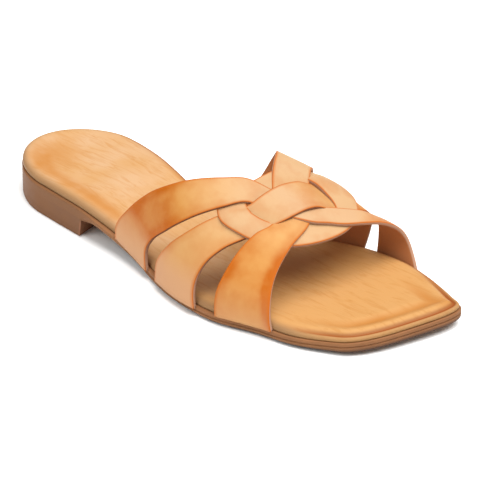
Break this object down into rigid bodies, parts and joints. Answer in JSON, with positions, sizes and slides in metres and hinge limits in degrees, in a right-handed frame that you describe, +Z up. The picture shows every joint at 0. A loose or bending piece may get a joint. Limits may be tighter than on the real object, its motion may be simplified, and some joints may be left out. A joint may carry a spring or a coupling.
{
  "type": "flat slide sandal",
  "caption": "Flat open-toe slide sandal with a woven leather strap upper, leather footbed, thin outsole with a low heel block and a square toe.",
  "frame": {"origin": "on the floor, under the middle of the shoe's bounding box", "axes": "+X from the heel to the toe, +Y to the medial side, +Z up from the floor"},
  "size_m": [0.2512, 0.093, 0.0555],
  "materials": {
    "sole_rubber": "matte",
    "heel_rubber": "satin",
    "footbed_leather": "satin",
    "strap_leather": "satin"
  },
  "bodies": {
    "root": {"outsole": "sole_rubber", "heel": "heel_rubber", "footbed": "footbed_leather", "upper": "strap_leather"}
  },
  "joints": []
}
